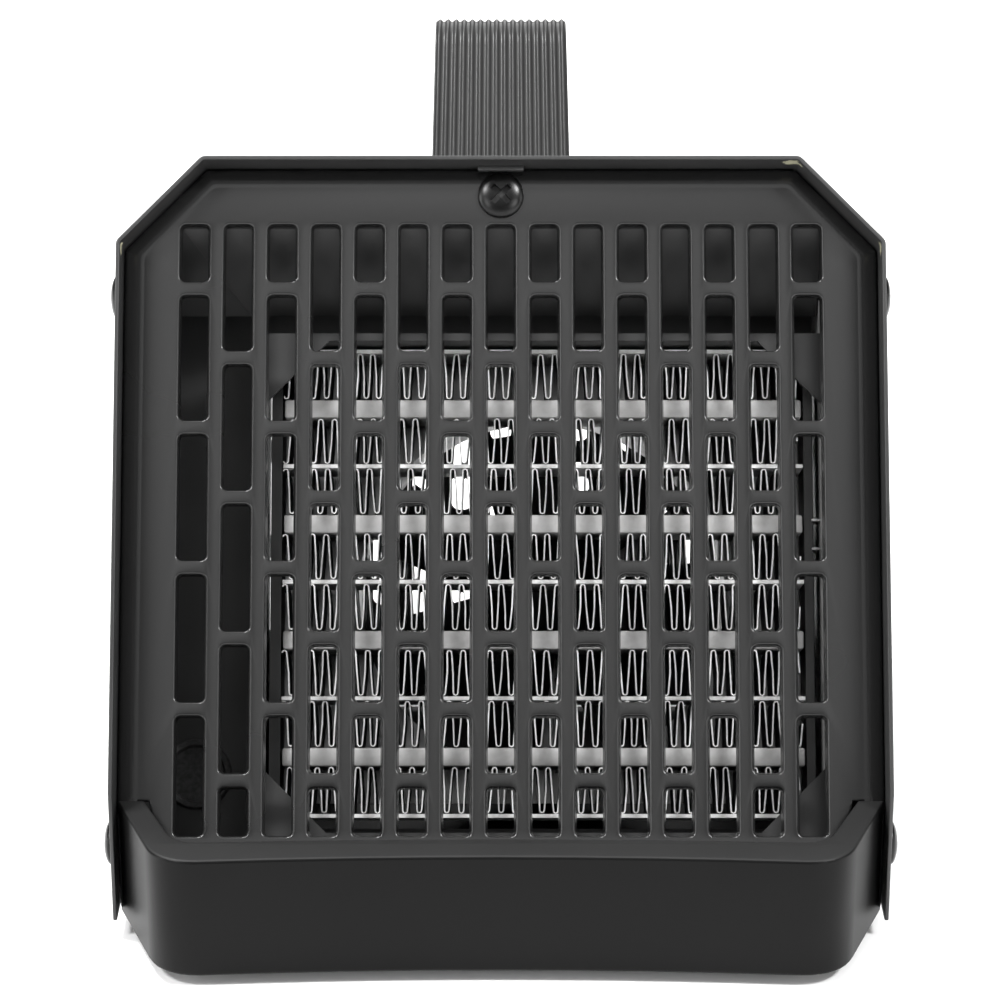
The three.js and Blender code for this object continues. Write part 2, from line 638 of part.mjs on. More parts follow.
// Assembly
add(tilted, "outer_sleeve", sleeve(), SHEET_BLACK);
add(tilted, "front_grille", frontGrille(), BLACK_PLASTIC);
add(upright, "base_tray", baseTray(), BLACK_PLASTIC);
add(tilted, "rear_cover", rearCover(), SHEET_BLACK);
addCore();
add(tilted, "core_holder", coreHolder(), BLACK_PLASTIC);
add(tilted, "air_deflector", airDeflector(), SHEET_BLACK);
add(tilted, "bulkhead", bulkhead(), SHEET_BLACK);
add(tilted, "lead_grommet", leadGrommet(), RUBBER);
add(tilted, "fan_shroud", fanShroud(), GALVANISED);
add(tilted, "fan", facingIn(fanRotor(), FAN_X, FAN_FRONT, FAN_V), ALUMINIUM);
add(tilted, "motor_bracket", motorBracket(), GALVANISED);
add(tilted, "fan_motor", fanMotor(), GALVANISED);
add(tilted, "thermal_cutout", disc(7, 0, 8, 20).rotateX(-Math.PI / 2), GALVANISED,
  GROMMET.x,
  BULKHEAD_FRONT + BULKHEAD_THICK + GAP, 60);
add(tilted, "carry_handle", carryHandle(), HANDLE_PLASTIC, 0, 0, SLEEVE_TOP + GAP);
add(tilted, "thermostat_body", controlBody(30, 34), BLACK_PLASTIC, -KNOB_X, KNOB_B, SLEEVE_TOP);
add(tilted, "thermostat_knob", knob(), BLACK_PLASTIC, -KNOB_X, KNOB_B, SLEEVE_TOP);
add(tilted, "selector_switch_body", controlBody(30, 30), BLACK_PLASTIC, KNOB_X, KNOB_B, SLEEVE_TOP);
add(tilted, "selector_knob", knob(), BLACK_PLASTIC, KNOB_X, KNOB_B, SLEEVE_TOP);
add(tilted, "cable_gland", cableGland(), BLACK_PLASTIC);
addScrews();
addBasePieces();

heater.updateMatrixWorld(true);
const box = new THREE.Box3().setFromObject(heater, true);
heater.position.y = -(box.min.y + box.max.y) / 2;
heater.updateMatrixWorld(true);

export default heater;
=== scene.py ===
import json
import math
import random

import bmesh
import bpy
from mathutils import Matrix, Vector


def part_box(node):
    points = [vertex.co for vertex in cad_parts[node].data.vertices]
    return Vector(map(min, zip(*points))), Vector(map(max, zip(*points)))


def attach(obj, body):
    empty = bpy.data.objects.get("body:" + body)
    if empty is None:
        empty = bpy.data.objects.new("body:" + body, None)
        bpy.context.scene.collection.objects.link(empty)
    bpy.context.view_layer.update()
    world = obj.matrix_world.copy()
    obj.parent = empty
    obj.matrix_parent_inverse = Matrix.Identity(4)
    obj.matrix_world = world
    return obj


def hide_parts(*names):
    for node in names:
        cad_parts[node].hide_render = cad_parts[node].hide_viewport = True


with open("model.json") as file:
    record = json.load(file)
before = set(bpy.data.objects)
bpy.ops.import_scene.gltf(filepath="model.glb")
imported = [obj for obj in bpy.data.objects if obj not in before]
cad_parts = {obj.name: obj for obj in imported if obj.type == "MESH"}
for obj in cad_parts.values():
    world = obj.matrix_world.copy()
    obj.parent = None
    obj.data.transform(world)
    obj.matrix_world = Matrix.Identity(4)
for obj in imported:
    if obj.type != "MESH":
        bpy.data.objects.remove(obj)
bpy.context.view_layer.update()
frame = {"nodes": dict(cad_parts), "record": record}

MM = 0.001

# The heater leans back. Tilted coordinates are (x, depth, up the lean) in millimetres, counted from
# the kink at FRONT_Y and KINK_Z, which are in metres. Upright ones are (x, depth, height) in
# millimetres, counted from FRONT_Y and the ground.
LEAN = math.radians(28.5)
FRONT_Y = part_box("outer_sleeve")[0].y
KINK_Z = 0.0381
TILT = Matrix.Translation((0, FRONT_Y, KINK_Z)) @ Matrix.Rotation(-LEAN, 4, "X") @ Matrix.Scale(MM, 4)
UPRIGHT = Matrix.Translation((0, FRONT_Y, 0)) @ Matrix.Scale(MM, 4)

# Sleeve. Lengths are in millimetres from here to the stage.
WIDTH = 185.0
SLEEVE_TOP = 153.4
SLEEVE_DEPTH = 125.0
SHEET = 1.0
CHAMFER_X = 20.4
CHAMFER_V = 20.8
WALL_BOTTOM = 4.6
SLEEVE_FOOT = -40.0
BEND = 2.2
FLANGE_XS = (WIDTH / 2 - 3.3, WIDTH / 2 - 1.35)
# Chips in the coat, each a tilted place and a reach, show the primer.
CHIPS = (((70.6, 3.2, SLEEVE_TOP - SHEET), 4.2),
         ((-WIDTH / 2 + SHEET, 3.0, 131.2), 2.8),
         ((WIDTH / 2 - SHEET, 3.0, 131.2), 2.8))
CHIP_EDGE = 0.24
PRIMER = (0.28, 0.27, 0.19)

# Base. The two chin outlines are in plan, with y as the upright depth.
LEDGE_Z = 33.0
BASE_BOTTOM = 3.2
FLOOR_TOP = 6.0
BASE_HALF = 91.2
BASE_REAR = 121.0
CHEEK_REAR = 7.2
CHIN_OUTSIDE = {"rear_half": BASE_HALF, "corner_half": 79.3, "corner_y": -25.1, "mid_y": -22.6, "radius": 9}
CHIN_INSIDE = {"rear_half": 84.7, "corner_half": 75.7, "corner_y": -14.8, "mid_y": -13.1, "radius": 5}
BASE_WALL = 2.0

# Front grille
GRILLE_FRONT = 8.2
GRILLE_BACK = 10.8
SLOT_COLUMNS = 15
SLOT_PITCH = 10.6
SLOT_WIDTH = 7.1
SLOT_DRAFT_X = 0.45
SLOT_DRAFT_V = 0.3
SLOT_LENGTH = 30.7
SLOT_PERIOD = 34.0
FIRST_BOTTOMS = (124.1, 107.1)
SLOT_TOP = 138.25
SLOT_BOTTOM = -9.8
SLOT_CORNER = 1.5
LIP = 0.6
COLLAR_LAP = 0.5
PANEL_INSET = 4.4
RIM_FOOT = -1.4
PANEL_FOOT = [(78.0, -29.4), (83.6, RIM_FOOT), (88.1, RIM_FOOT)]
RIM_GAP = 0.15
RIM_WIDE = 4.4
RIM_DEEP = 2.2
RIM_COVER = 5.0
RIM_LENGTH = 6.0

# Heating core
CORE_LEFT = -53.5
CORE_RIGHT = 74.3
CORE_BOTTOM = -4.0
CORE_UNIT = 28.6
CORE_UNITS = 4
CORE_FRONT = 28.0
CORE_BACK = 44.0
BAR_HEIGHT = 4.6
PLATE = 0.9
FIN_PITCH = 3.36
FIN_TIP = 0.55
FOIL = 0.34
TAB_FRONT = 27.6

# Fan
FAN_X = 10.4
FAN_V = CORE_BOTTOM + CORE_UNIT * CORE_UNITS / 2
FAN_RADIUS = 43.5
FAN_DEPTH = 52.0
BLADES = 7
BLADE_ROOT = 12.5
BLADE_THICK = 1.1

# Rear
REAR_FRONT = 119.0
REAR_THICK = 2.0
REAR_INSET = 1.3
REAR_FOOT = [(88.5, 30.1), (88.5, 62.1), (91.2, 62.1)]
VENT_COLUMNS = 13
VENT_ROWS = 3
VENT_BOTTOM = 50.0
VENT_PERIOD = 26.0
VENT_LENGTH = 20.0
VENT_WIDTH = 5.6
VENT_SHIFT = 7.0
GLAND_X = -66.0
GLAND_V = 40.0
GLAND_HOLE = 6.4
GROMMET_PLACE = (-75.5, 46.4, 7.1)

# Handle and knobs
HANDLE_TOP_HALF = 16.25
HANDLE_FOOT_HALF = 16.85
HANDLE_HEIGHT = 42.7
HANDLE_FRONT = 12.0
HANDLE_REAR = 113.0
STRAP = 4.0
STRAP_LEAN = 14.6
STRAP_BEND = 9.0
STRAP_FOOT = 0.3
PAD_ENDS = (2.0, 23.0)
RIB_DEPTH = 0.62
RIBS = 16
KNOB_X = 52.0
KNOB_B = 80.0
KNOB_RADIUS = 17.0
FLUTES = 24

# Screws. A head is (radius, height).
PANEL_HEAD = (5.6, 2.5)
WALL_HEAD = (5.4, 2.3)
STRAP_HEAD = (4.1, 1.9)
PANEL_SCREW_V = 145.3
STRAP_SCREW_IN = 15.0
# The screws in each side: name, replaced node, coordinates, depth and height.
WALL_SCREWS = (("low", "side_screw_lower", UPRIGHT, 9.0, 21.0),
               ("high", "side_screw_upper", TILT, 12.5, 121.0),
               ("back", "rear_screw", TILT, 114.0, 112.0))

# Stage, in metres
CAMERA_LENS = 126
CAMERA_PLACE = (-0.0002, FRONT_Y - 0.744, 0.3961)
CAMERA_DOWN = 20.9
FLOOR_HALF = 4.0
LIGHT_AIM = (0, 0, 0.09)
AMBIENT = 0.1


# Camera
def make_camera():
    data = bpy.data.cameras.new("camera")
    data.lens = CAMERA_LENS
    data.sensor_width = 36
    data.clip_start = 0.05
    camera = bpy.data.objects.new("camera", data)
    camera.location = CAMERA_PLACE
    camera.rotation_euler = (math.radians(90 - CAMERA_DOWN), 0, 0)
    bpy.context.scene.collection.objects.link(camera)
    bpy.context.scene.camera = camera


# Materials
def material(name, base, roughness, metallic=0.0, specular=0.5):
    mat = bpy.data.materials.new(name)
    mat.use_nodes = True
    shader = mat.node_tree.nodes["Principled BSDF"]
    shader.inputs["Base Color"].default_value = (*base, 1)
    shader.inputs["Roughness"].default_value = roughness
    shader.inputs["Metallic"].default_value = metallic
    shader.inputs["Specular IOR Level"].default_value = specular
    return mat, mat.node_tree.nodes, mat.node_tree.links, shader


def texture(nodes, links, scale, detail=2.0, stretch=(1, 1, 1)):
    place = nodes.new("ShaderNodeTexCoord")
    mapping = nodes.new("ShaderNodeMapping")
    mapping.inputs["Scale"].default_value = stretch
    noise = nodes.new("ShaderNodeTexNoise")
    noise.inputs["Scale"].default_value = scale
    noise.inputs["Detail"].default_value = detail
    links.new(place.outputs["Object"], mapping.inputs["Vector"])
    links.new(mapping.outputs["Vector"], noise.inputs["Vector"])
    return noise.outputs["Fac"]


def vary_colour(nodes, links, shader, fac, dark, light, low=0.35, high=0.65):
    ramp = nodes.new("ShaderNodeValToRGB")
    ramp.color_ramp.elements[0].position = low
    ramp.color_ramp.elements[0].color = (*dark, 1)
    ramp.color_ramp.elements[1].position = high
    ramp.color_ramp.elements[1].color = (*light, 1)
    links.new(fac, ramp.inputs["Fac"])
    links.new(ramp.outputs["Color"], shader.inputs["Base Color"])


def vary_roughness(nodes, links, shader, fac, low, high):
    spread = nodes.new("ShaderNodeMapRange")
    spread.inputs["To Min"].default_value = low
    spread.inputs["To Max"].default_value = high
    links.new(fac, spread.inputs["Value"])
    links.new(spread.outputs["Result"], shader.inputs["Roughness"])


def add_bump(nodes, links, shader, fac, strength, distance):
    bump = nodes.new("ShaderNodeBump")
    bump.inputs["Strength"].default_value = strength
    bump.inputs["Distance"].default_value = distance
    links.new(fac, bump.inputs["Height"])
    links.new(bump.outputs["Normal"], shader.inputs["Normal"])


def grey(value, warm=0.0):
    return (value * (1 + warm), value, value * (1 - warm))


def moulded_plastic(name, base, roughness=0.42, specular=0.42):
    mat, nodes, links, shader = material(name, grey(base), roughness, 0, specular)
    broad = texture(nodes, links, 22)
    vary_colour(nodes, links, shader, broad, grey(base * 0.9), grey(base * 1.1))
    vary_roughness(nodes, links, shader, broad, roughness - 0.03, roughness + 0.05)
    add_bump(nodes, links, shader, texture(nodes, links, 2600, 3), 0.12, 0.00012)
    return mat


def powder_coat(name, base, roughness=0.4):
    mat, nodes, links, shader = material(name, grey(base), roughness, 0, 0.5)
    broad = texture(nodes, links, 14)
    vary_colour(nodes, links, shader, broad, grey(base * 0.88), grey(base * 1.12))
    vary_roughness(nodes, links, shader, broad, roughness - 0.04, roughness + 0.06)
    add_bump(nodes, links, shader, texture(nodes, links, 1300, 3), 0.16, 0.00015)
    return mat


def math_node(nodes, links, operation, first, second):
    """Math node on a socket and either another socket or a plain number."""
    node = nodes.new("ShaderNodeMath")
    node.operation = operation
    links.new(first, node.inputs[0])
    if isinstance(second, float):
        node.inputs[1].default_value = second
    else:
        links.new(second, node.inputs[1])
    return node.outputs["Value"]


def closeness(nodes, links, position, spot, reach):
    """1 at a tilted place, falling to 0 at the reach."""
    away = nodes.new("ShaderNodeVectorMath")
    away.operation = "DISTANCE"
    away.inputs[1].default_value = TILT @ Vector(spot)
    links.new(position, away.inputs[0])
    fall = nodes.new("ShaderNodeMapRange")
    fall.inputs["From Max"].default_value = reach * MM
    fall.inputs["To Min"].default_value = 1
    fall.inputs["To Max"].default_value = 0
    links.new(away.outputs["Value"], fall.inputs["Value"])
    return fall.outputs["Result"]


def worn_sheet(name, base):
    """Powder coat chipped to the yellowish primer at three corners of the front edge."""
    mat = powder_coat(name, base)
    nodes, links = mat.node_tree.nodes, mat.node_tree.links
    shader = nodes["Principled BSDF"]
    coat = shader.inputs["Base Color"].links[0].from_socket
    position = nodes.new("ShaderNodeNewGeometry").outputs["Position"]
    chips = None
    for spot, reach in CHIPS:
        near = closeness(nodes, links, position, spot, reach)
        chips = near if chips is None else math_node(nodes, links, "MAXIMUM", chips, near)
    ragged = math_node(nodes, links, "MULTIPLY", chips, texture(nodes, links, 900, 4))
    bare = math_node(nodes, links, "GREATER_THAN", ragged, CHIP_EDGE)
    mix = nodes.new("ShaderNodeMix")
    mix.data_type = "RGBA"
    mix.inputs["B"].default_value = (*PRIMER, 1)
    links.new(bare, mix.inputs["Factor"])
    links.new(coat, mix.inputs["A"])
    links.new(mix.outputs["Result"], shader.inputs["Base Color"])
    return mat


def bright_foil(name, base, roughness, metallic):
    mat, nodes, links, shader = material(name, grey(base), roughness, metallic)
    streaks = texture(nodes, links, 500, 3, (1, 0.1, 1))
    vary_colour(nodes, links, shader, streaks, grey(base * 0.8, 0.01), grey(min(base * 1.15, 0.95)))
    vary_roughness(nodes, links, shader, streaks, roughness - 0.08, roughness + 0.1)
    add_bump(nodes, links, shader, streaks, 0.15, 0.0001)
    return mat


def dull_casing(name, base):
    mat, nodes, links, shader = material(name, grey(base), 0.5, 0.15)
    patches = texture(nodes, links, 260, 4)
    vary_colour(nodes, links, shader, patches, grey(base * 0.86, 0.012), grey(base * 1.1, 0.006))
    vary_roughness(nodes, links, shader, patches, 0.42, 0.62)
    add_bump(nodes, links, shader, texture(nodes, links, 2200, 2), 0.2, 0.0001)
    return mat


def plated_steel(name, base, roughness=0.32):
    mat, nodes, links, shader = material(name, grey(base), roughness, 0.9)
    spangle = nodes.new("ShaderNodeTexVoronoi")
    spangle.inputs["Scale"].default_value = 130
    place = nodes.new("ShaderNodeTexCoord")
    links.new(place.outputs["Object"], spangle.inputs["Vector"])
    vary_colour(nodes, links, shader, spangle.outputs["Distance"], grey(base * 0.8), grey(base * 1.15))
    vary_roughness(nodes, links, shader, texture(nodes, links, 90, 4), roughness - 0.06, roughness + 0.14)
    return mat


def soft_rubber(name, base):
    mat, nodes, links, shader = material(name, grey(base), 0.8, 0, 0.3)
    fine = texture(nodes, links, 900, 4)
    vary_colour(nodes, links, shader, fine, grey(base * 0.8), grey(base * 1.3))
    add_bump(nodes, links, shader, fine, 0.3, 0.0002)
    return mat


def unglazed(name, base):
    mat, nodes, links, shader = material(name, grey(base, 0.02), 0.7)
    fine = texture(nodes, links, 400, 5)
    vary_colour(nodes, links, shader, fine, grey(base * 0.9, 0.03), grey(base * 1.05, 0.01))
    add_bump(nodes, links, shader, fine, 0.2, 0.0002)
    return mat


def make_materials():
    return {
        "sheet_black": powder_coat("sheet_black", 0.017),
        "worn_sheet": worn_sheet("worn_sheet", 0.017),
        # Darker copy of the powder coat as painted shade, on the air deflector deep inside and in the screw
        # recesses.
        "painted_shade_black": powder_coat("painted_shade_black", 0.006, 0.55),
        # Lighter copy of the powder coat as painted light, filling the shadow on the bulkhead behind the
        # slots.
        "bulkhead_painted_light": powder_coat("bulkhead_painted_light", 0.03, 0.5),
        "black_plastic": moulded_plastic("black_plastic", 0.024),
        "base_plastic": moulded_plastic("base_plastic", 0.003, 0.36, 0.1),
        # Lighter copy of the base plastic as painted light, for the ledge top that faces the lamps above.
        "ledge_top_painted_light": moulded_plastic("ledge_top_painted_light", 0.011, 0.5, 0.2),
        "grille_plastic": moulded_plastic("grille_plastic", 0.007, 0.25, 0.42),
        "handle_plastic": moulded_plastic("handle_plastic", 0.018, 0.3, 0.3),
        # Near-white, barely metallic foil for the fin edges facing out and the core clip: partly the
        # aluminium's own brightness, partly painted highlight.
        "aluminium_fin": bright_foil("aluminium_fin", 0.9, 0.4, 0.1),
        # Dark copy of the fin foil for its broad sides, painted shade between the packed fins.
        "foil_side_painted_shade": bright_foil("foil_side_painted_shade", 0.12, 0.5, 0.7),
        "ceramic_bar_casing": dull_casing("ceramic_bar_casing", 0.5),
        "galvanised_steel": plated_steel("galvanised_steel", 0.42),
        "rubber": soft_rubber("rubber", 0.018),
        # Lighter copy of the rubber as painted light on the lit ring of the wiring grommet.
        "grommet_rubber_painted_light": soft_rubber("grommet_rubber_painted_light", 0.07),
        "black_screw": plated_steel("black_screw", 0.02, 0.26),
        "terminal_ceramic": unglazed("terminal_ceramic", 0.7),
        "duct_side": bright_foil("duct_side", 0.32, 0.4, 0.3),
        "knob_mark": moulded_plastic("knob_mark", 0.75, 0.45),
    }


# Mesh helpers
def open_mesh(mesh):
    bm = bmesh.new()
    bm.from_mesh(mesh)
    return bm


def write_back(bm, mesh):
    """Ends an edit with every face turned outwards."""
    bmesh.ops.recalc_face_normals(bm, faces=bm.faces)
    bm.to_mesh(mesh)
    bm.free()


def fill_openings(bm):
    bmesh.ops.holes_fill(bm, edges=[e for e in bm.edges if e.is_boundary])


def ring_faces(rings, count):
    """Faces between the neighbouring rings of a stack, each ring closed on itself."""
    faces = []
    for i in range(rings - 1):
        low = i * count
        high = low + count
        for k in range(count):
            n = (k + 1) % count
            faces.append((low + k, low + n, high + n, high + k))
    return faces


def end_caps(rings, count):
    last = (rings - 1) * count
    return [tuple(range(count)), tuple(range(last, last + count))]


def mesh_object(name, verts, faces, frame_matrix, mats, face_mats=None):
    mesh = bpy.data.meshes.new(name)
    mesh.from_pydata([frame_matrix @ Vector(v) for v in verts], [], faces)
    for mat in mats:
        mesh.materials.append(mat)
    if face_mats:
        mesh.polygons.foreach_set("material_index", face_mats)
    mesh.validate()
    obj = bpy.data.objects.new(name, mesh)
    bpy.context.scene.collection.objects.link(obj)
    write_back(open_mesh(mesh), mesh)
    return obj


def smooth(obj, angle=35):
    for poly in obj.data.polygons:
        poly.use_smooth = True
    bpy.ops.object.select_all(action="DESELECT")
    bpy.context.view_layer.objects.active = obj
    obj.select_set(True)
    bpy.ops.object.shade_smooth_by_angle(angle=math.radians(angle))
    obj.select_set(False)
    return obj


def apply_modifiers(obj):
    graph = bpy.context.evaluated_depsgraph_get()
    mesh = bpy.data.meshes.new_from_object(obj.evaluated_get(graph))
    obj.modifiers.clear()
    obj.data = mesh
    return obj


def bevel(obj, width_mm, segments=3, angle=35):
    modifier = obj.modifiers.new("bevel", "BEVEL")
    modifier.width = width_mm * MM
    modifier.segments = segments
    modifier.limit_method = "ANGLE"
    modifier.angle_limit = math.radians(angle)
    modifier.harden_normals = False
    return apply_modifiers(obj)


def join(name, objects):
    bpy.ops.object.select_all(action="DESELECT")
    for obj in objects:
        obj.select_set(True)
    bpy.context.view_layer.objects.active = objects[0]
    bpy.ops.object.join()
    joined = bpy.context.view_layer.objects.active
    joined.name = name
    joined.select_set(False)
    return joined


def boolean_cut(obj, cutters):
    for cutter in cutters:
        modifier = obj.modifiers.new("cut", "BOOLEAN")
        modifier.object = cutter
        modifier.operation = "DIFFERENCE"
        modifier.solver = "EXACT"
        apply_modifiers(obj)
        bpy.data.objects.remove(cutter)
    return obj


def rounded(points, radii, steps=5):
    """Closed outline with each corner replaced by an arc of its own radius."""
    result = []
    count = len(points)
    for i, corner in enumerate(points):
        radius = radii[i] if isinstance(radii, (list, tuple)) else radii
        p = Vector(corner)
        if radius <= 0:
            result.append(p)
            continue
        a = (Vector(points[i - 1]) - p).normalized()
        b = (Vector(points[(i + 1) % count]) - p).normalized()
        half = a.angle(b) / 2
        reach = radius / math.tan(half)
        centre = p + (a + b).normalized() * (radius / math.sin(half))
        start = p + a * reach - centre
        turn = start.angle_signed(p + b * reach - centre)
        for k in range(steps + 1):
            arm = start.copy()
            arm.rotate(Matrix.Rotation(-turn * k / steps, 2))
            result.append(centre + arm)
    return result


def outline_solid(name, loops, depth, edge, place, mat, resolution=2):
    """Flat outline with holes, given a thickness and rounded edges on every border."""
    curve = bpy.data.curves.new(name, "CURVE")
    curve.dimensions = "2D"
    curve.fill_mode = "BOTH"
    curve.extrude = depth / 2 - edge
    curve.bevel_depth = edge
    curve.bevel_resolution = resolution
    curve.offset = -edge
    for loop in loops:
        spline = curve.splines.new("POLY")
        spline.points.add(len(loop) - 1)
        for point, (x, y) in zip(spline.points, loop):
            point.co = (x, y, 0, 1)
        spline.use_cyclic_u = True
    holder = bpy.data.objects.new(name + "_curve", curve)
    bpy.context.scene.collection.objects.link(holder)
    graph = bpy.context.evaluated_depsgraph_get()
    mesh = bpy.data.meshes.new_from_object(holder.evaluated_get(graph))
    bpy.data.objects.remove(holder)
    bm = open_mesh(mesh)
    bmesh.ops.remove_doubles(bm, verts=bm.verts, dist=1e-4)
    write_back(bm, mesh)
    mesh.transform(place)
    mesh.materials.clear()
    mesh.materials.append(mat)
    obj = bpy.data.objects.new(name, mesh)
    bpy.context.scene.collection.objects.link(obj)
    return smooth(obj, 40)


def facing_front(middle):
    """Places an outline in (x, up the lean) with its thickness centred on a depth."""
    turn = Matrix(((1, 0, 0, 0), (0, 0, -1, middle), (0, 1, 0, 0), (0, 0, 0, 1)))
    return TILT @ turn


def from_above(middle):
    """Places an outline in (x, depth) with its thickness centred on a height."""
    return UPRIGHT @ Matrix.Translation((0, 0, middle))


def turned(name, profile, place, mat, segments=48):
    """Body of revolution about local Z from (radius, height) pairs, closed on the axis where r is 0."""
    verts = []
    for r, h in profile:
        for k in range(segments):
            a = 2 * math.pi * k / segments
            verts.append((r * math.cos(a), r * math.sin(a), h))
    obj = mesh_object(name, verts, ring_faces(len(profile), segments), place, [mat])
    bm = open_mesh(obj.data)
    bmesh.ops.remove_doubles(bm, verts=bm.verts, dist=1e-7)
    bmesh.ops.dissolve_degenerate(bm, edges=bm.edges, dist=1e-7)
    fill_openings(bm)
    write_back(bm, obj.data)
    return smooth(obj, 40)


def into_heater(x, b, v):
    """Local +Z points into the heater."""
    return TILT @ Matrix.Translation((x, b, v)) @ Matrix.Rotation(-math.pi / 2, 4, "X")


def out_of_front(x, b, v):
    """Local +Z points out of the front."""
    return TILT @ Matrix.Translation((x, b, v)) @ Matrix.Rotation(math.pi / 2, 4, "X")


def boxed(name, lo, hi, place, mat, edge=0.3):
    verts = [(x, y, z) for x in (lo[0], hi[0]) for y in (lo[1], hi[1]) for z in (lo[2], hi[2])]
    faces = [(0, 1, 3, 2), (4, 6, 7, 5), (0, 4, 5, 1), (2, 3, 7, 6), (0, 2, 6, 4), (1, 5, 7, 3)]
    obj = mesh_object(name, verts, faces, place, [mat])
    if edge:
        bevel(obj, edge, 2)
    return smooth(obj, 40)


def side_plate(side, xs, depths, heights, place, mat, edge):
    """Box at one side of the heater; its two distances from the middle run outwards."""
    lo = (min(side * xs[0], side * xs[1]), depths[0], heights[0])
    hi = (max(side * xs[0], side * xs[1]), depths[1], heights[1])
    return boxed("side_plate", lo, hi, place, mat, edge)


def finish_piece(obj, body, slot, *nodes):
    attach(obj, body)
    if nodes:
        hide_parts(*nodes)
    return obj


# Sleeve
def arch_corners(inset, gap=0.0):
    """Right shoulder and crown of the arch; the gap keeps its walls and top clear of the sleeve."""
    slip = inset * math.tan(math.pi / 8)
    shoulder = (WIDTH / 2 - inset - gap, SLEEVE_TOP - CHAMFER_V - slip)
    crown = (WIDTH / 2 - CHAMFER_X - slip, SLEEVE_TOP - inset - gap)
    return [shoulder, crown]


def mirrored(right):
    """Closed outline from the corners of its right half, listed upwards."""
    return right + [(-x, v) for x, v in reversed(right)]


def arch_outline(inset, bend):
    corners = mirrored([(WIDTH / 2 - inset, SLEEVE_FOOT)] + arch_corners(inset))
    return rounded(corners, [0, bend, bend, bend, bend, 0], 6)


def trim(obj, point, normal):
    """Keeps the side of a closed mesh that the normal points to, and closes the cut."""
    bm = open_mesh(obj.data)
    geometry = bm.verts[:] + bm.edges[:] + bm.faces[:]
    cut = bmesh.ops.bisect_plane(bm, geom=geometry, plane_co=point, plane_no=normal, clear_inner=True)
    edges = [e for e in cut["geom_cut"] if isinstance(e, bmesh.types.BMEdge)]
    bmesh.ops.edgeloop_fill(bm, edges=edges)
    write_back(bm, obj.data)


def make_sleeve(mats):
    outer = arch_outline(0, BEND)
    inner = arch_outline(SHEET, BEND - SHEET)
    ring = outer + inner[::-1]
    count = len(ring)
    verts = [(p.x, b, p.y) for b in (0.0, SLEEVE_DEPTH) for p in ring]
    faces = ring_faces(2, count)
    half = count // 2
    for layer in (0, count):
        for i in range(half - 1):
            faces.append((layer + i, layer + i + 1, layer + count - 2 - i, layer + count - 1 - i))
    obj = mesh_object("sleeve_shell", verts, faces, TILT, [mats["worn_sheet"]])
    trim(obj, (0, 0, WALL_BOTTOM * MM), (0, 0, 1))
    trim(obj, (0, FRONT_Y, 0), (0, 1, 0))
    bevel(obj, 0.28, 3, 50)
    smooth(obj, 30)
    return finish_piece(obj, "root", "sheet_black", "outer_sleeve")


def make_front_tab(mats):
    top = SLEEVE_TOP - SHEET
    obj = boxed("front_tab", (-5.6, 6.3, top - 1.3), (5.6, 7.8, top + 0.1), TILT, mats["sheet_black"], 0.4)
    return finish_piece(obj, "root", "sheet_black")


# Front grille
def slot_spans(column):
    first = FIRST_BOTTOMS[column % 2]
    spans = [(first, SLOT_TOP)]
    top = first - SLOT_PERIOD + SLOT_LENGTH
    while top > SLOT_BOTTOM + 2:
        spans.append((max(top - SLOT_LENGTH, SLOT_BOTTOM), top))
        top -= SLOT_PERIOD
    return spans


def slot_loop(x, low, high, width, corner):
    h = width / 2
    return rounded([(x - h, low), (x + h, low), (x + h, high), (x - h, high)], corner, 6)


def panel_border(inset, foot):
    return mirrored(foot + arch_corners(inset))


def loft(name, rings, place, mat, closed_ring=True):
    """Skin over point rings of equal length, the last ring joined to the first."""
    count = len(rings[0])
    verts = [p for ring in rings for p in ring]
    faces = []
    for i in range(len(rings)):
        j = (i + 1) % len(rings)
        for k in range(count if closed_ring else count - 1):
            n = (k + 1) % count
            faces.append((i * count + k, i * count + n, j * count + n, j * count + k))
    return mesh_object(name, verts, faces, place, [mat])


def rolled_rim(mats):
    """Edge of the panel rolled back against the sleeve all round, except along the foot."""
    def ring(inset, b):
        foot = (WIDTH / 2 - SHEET - RIM_GAP - inset, RIM_FOOT)
        corners = mirrored([foot] + arch_corners(SHEET + inset, RIM_GAP))
        return [(p.x, b, p.y) for p in rounded(corners, [0, 2, 2, 2, 2, 0], 5)]

    front = GRILLE_FRONT - 0.02
    back = front + RIM_LENGTH
    under = front + 1.2
    rings = [ring(RIM_COVER, front), ring(RIM_WIDE, front)]
    for k in range(1, 7):
        a = math.pi / 12 * k
        rings.append(ring(RIM_WIDE * (1 - math.sin(a)), front + RIM_DEEP * (1 - math.cos(a))))
    rings += [ring(0, back), ring(1.2, back), ring(1.2, front + 3), ring(3.4, under), ring(RIM_COVER, under)]
    obj = loft("rim", rings, TILT, mats["grille_plastic"], False)
    bm = open_mesh(obj.data)
    fill_openings(bm)
    write_back(bm, obj.data)
    return smooth(obj, 40)


def slot_collar(x, low, high, mats):
    """Drafted wall of one slot: narrower at the back of the panel than at its face."""
    def ring(grow_x, grow_v, b):
        corner = max(SLOT_CORNER + grow_x, 0.9)
        loop = slot_loop(x, low - grow_v, high + grow_v, SLOT_WIDTH + 2 * grow_x, corner)
        return [(p.x, b, p.y) for p in loop]

    start = GRILLE_FRONT + LIP
    rings = [ring(COLLAR_LAP, COLLAR_LAP, start), ring(-0.02, -0.02, start),
             ring(-SLOT_DRAFT_X, -SLOT_DRAFT_V, GRILLE_BACK), ring(COLLAR_LAP, COLLAR_LAP, GRILLE_BACK)]
    return smooth(loft("collar", rings, TILT, mats["grille_plastic"]), 40)


